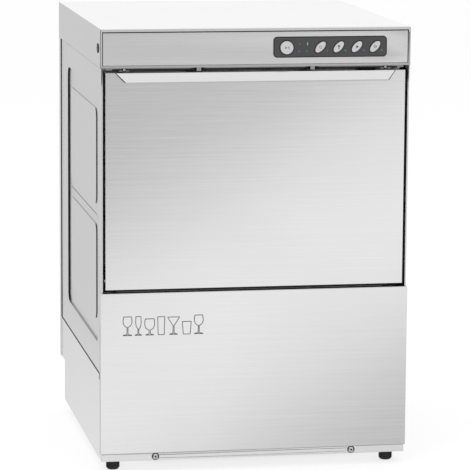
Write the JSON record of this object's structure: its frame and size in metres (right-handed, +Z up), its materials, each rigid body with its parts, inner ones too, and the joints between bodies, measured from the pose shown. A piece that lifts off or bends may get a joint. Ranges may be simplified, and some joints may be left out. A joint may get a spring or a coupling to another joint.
{
  "type": "under-counter glass washer",
  "caption": "Under-counter stainless steel glass washer: boxy casing, drop-down front door with a folded handle lip, spray chamber, basket, pump, boiler and push-button panel.",
  "frame": {"origin": "on the floor under the middle of the whole machine", "axes": "+Z up out of the top cover, the door and control panel face -Y, +X to the right of someone facing the door"},
  "size_m": [0.4318, 0.477, 0.614],
  "materials": {
    "casing_steel": "fine horizontal brushing",
    "door_steel": "fine horizontal brushing",
    "base_steel": "fine brushing",
    "inner_steel": "satin, deep drawn",
    "screw_steel": "polished",
    "dark_steel": "black passivated",
    "spring_steel": "drawn wire",
    "heater_steel": "heat tinted",
    "panel_grey": "charcoal, satin",
    "button_grey": "satin silver",
    "lens_green": "translucent",
    "board_green": "solder mask",
    "black_plastic": "moulded",
    "white_plastic": "moulded",
    "basket_blue": "moulded",
    "motor_grey": "painted",
    "black_rubber": "matte",
    "hose_black": "matte",
    "hose_clear": "braided",
    "brass": "machined"
  },
  "bodies": {
    "casing": {"top_cover": "casing_steel", "cap_side_plugs": "black_plastic", "control_fascia": "casing_steel", "control_panel_plate": "panel_grey", "indicator_lenses": "lens_green", "control_board": "board_green", "side_panel_right": "casing_steel", "side_panel_left": "casing_steel", "base_frame": "base_steel", "lower_front_panel": "door_steel", "rear_cover": "base_steel", "cover_screws": "screw_steel", "header_rail": "inner_steel", "front_posts": "inner_steel", "door_catch_housings": "black_plastic", "hinge_brackets": "dark_steel", "hinge_pins": "screw_steel", "door_springs": "spring_steel", "door_switch": "black_plastic", "jamb_buffers": "black_rubber", "door_gasket": "black_rubber", "wash_tub": "inner_steel", "rack_rails": "inner_steel", "tank_filter": "inner_steel", "arm_spindles": "white_plastic", "tank_heater": "heater_steel", "wash_pump_housing": "white_plastic", "pump_motor": "motor_grey", "boiler": "inner_steel", "boiler_element": "heater_steel", "water_inlet": "brass", "drain_stub": "white_plastic", "cable_gland": "black_plastic", "inlet_valve": "white_plastic", "rinse_aid_dispenser": "white_plastic", "terminal_block": "black_plastic", "wash_feed_pipes": "hose_black", "rinse_feed_pipes": "hose_clear", "drain_hose": "hose_black"},
    "door": {"door_outer_skin": "door_steel", "door_inner_liner": "inner_steel", "hinge_arms": "dark_steel"},
    "start_key": {"start_button": "button_grey"},
    "program_key_1": {"program_button_1": "button_grey"},
    "program_key_2": {"program_button_2": "button_grey"},
    "program_key_3": {"program_button_3": "button_grey"},
    "program_key_4": {"program_button_4": "button_grey"},
    "tongue_left": {"catch_tongue_left": "screw_steel"},
    "tongue_right": {"catch_tongue_right": "screw_steel"},
    "lower_wash_rotor": {"lower_wash_arm": "inner_steel"},
    "upper_wash_rotor": {"upper_wash_arm": "inner_steel"},
    "lower_rinse_rotor": {"lower_rinse_arm": "inner_steel"},
    "upper_rinse_rotor": {"upper_rinse_arm": "inner_steel"},
    "basket": {"glass_basket": "basket_blue"},
    "overflow_pipe": {"standpipe": "white_plastic"},
    "impeller_set": {"pump_rotor": "spring_steel"},
    "foot_front_left_turn": {"foot_front_left": "black_rubber"},
    "foot_front_right_turn": {"foot_front_right": "black_rubber"},
    "foot_rear_left_turn": {"foot_rear_left": "black_rubber"},
    "foot_rear_right_turn": {"foot_rear_right": "black_rubber"}
  },
  "joints": [
    {"name": "door_drop", "type": "hinge", "parent": "casing", "child": "door", "pos_m": [0, -0.2125, 0.2668], "axis": [1, 0, 0], "range_deg": [0, 90], "deforming": ["door_springs"]},
    {"name": "start_press", "type": "slide", "parent": "casing", "child": "start_key", "axis": [0, 1, 0], "range_m": [0, 0.0015], "stiffness_N_per_m": 250},
    {"name": "program_1_press", "type": "slide", "parent": "casing", "child": "program_key_1", "axis": [0, 1, 0], "range_m": [0, 0.0015], "stiffness_N_per_m": 250},
    {"name": "program_2_press", "type": "slide", "parent": "casing", "child": "program_key_2", "axis": [0, 1, 0], "range_m": [0, 0.0015], "stiffness_N_per_m": 250},
    {"name": "program_3_press", "type": "slide", "parent": "casing", "child": "program_key_3", "axis": [0, 1, 0], "range_m": [0, 0.0015], "stiffness_N_per_m": 250},
    {"name": "program_4_press", "type": "slide", "parent": "casing", "child": "program_key_4", "axis": [0, 1, 0], "range_m": [0, 0.0015], "stiffness_N_per_m": 250},
    {"name": "tongue_left_lift", "type": "slide", "parent": "casing", "child": "tongue_left", "axis": [0, 1, 0], "range_m": [0, 0.0015], "stiffness_N_per_m": 300},
    {"name": "tongue_right_lift", "type": "slide", "parent": "casing", "child": "tongue_right", "axis": [0, 1, 0], "range_m": [0, 0.0015], "stiffness_N_per_m": 300},
    {"name": "lower_wash_spin", "type": "hinge", "parent": "casing", "child": "lower_wash_rotor", "pos_m": [0, -0.007, 0.2868], "axis": [0, 0, 1], "continuous": true},
    {"name": "upper_wash_spin", "type": "hinge", "parent": "casing", "child": "upper_wash_rotor", "pos_m": [0, -0.007, 0.5338], "axis": [0, 0, 1], "continuous": true},
    {"name": "lower_rinse_spin", "type": "hinge", "parent": "casing", "child": "lower_rinse_rotor", "pos_m": [0, -0.007, 0.2988], "axis": [0, 0, 1], "continuous": true},
    {"name": "upper_rinse_spin", "type": "hinge", "parent": "casing", "child": "upper_rinse_rotor", "pos_m": [0, -0.007, 0.5238], "axis": [0, 0, 1], "continuous": true},
    {"name": "basket_lift", "type": "slide", "parent": "casing", "child": "basket", "axis": [0, 0, 1], "range_m": [0, 0.02]},
    {"name": "standpipe_lift", "type": "slide", "parent": "casing", "child": "overflow_pipe", "axis": [0, 0, 1], "range_m": [0, 0.04]},
    {"name": "pump_spin", "type": "hinge", "parent": "casing", "child": "impeller_set", "pos_m": [0.02, -0.0765, 0.078], "axis": [1, 0, 0], "continuous": true},
    {"name": "foot_front_left_screw", "type": "hinge", "parent": "casing", "child": "foot_front_left_turn", "pos_m": [-0.1943, -0.1995, 0], "axis": [0, 0, 1], "continuous": true},
    {"name": "foot_front_right_screw", "type": "hinge", "parent": "casing", "child": "foot_front_right_turn", "pos_m": [0.1943, -0.1995, 0], "axis": [0, 0, 1], "continuous": true},
    {"name": "foot_rear_left_screw", "type": "hinge", "parent": "casing", "child": "foot_rear_left_turn", "pos_m": [-0.1943, 0.1575, 0], "axis": [0, 0, 1], "continuous": true},
    {"name": "foot_rear_right_screw", "type": "hinge", "parent": "casing", "child": "foot_rear_right_turn", "pos_m": [0.1943, 0.1575, 0], "axis": [0, 0, 1], "continuous": true}
  ]
}
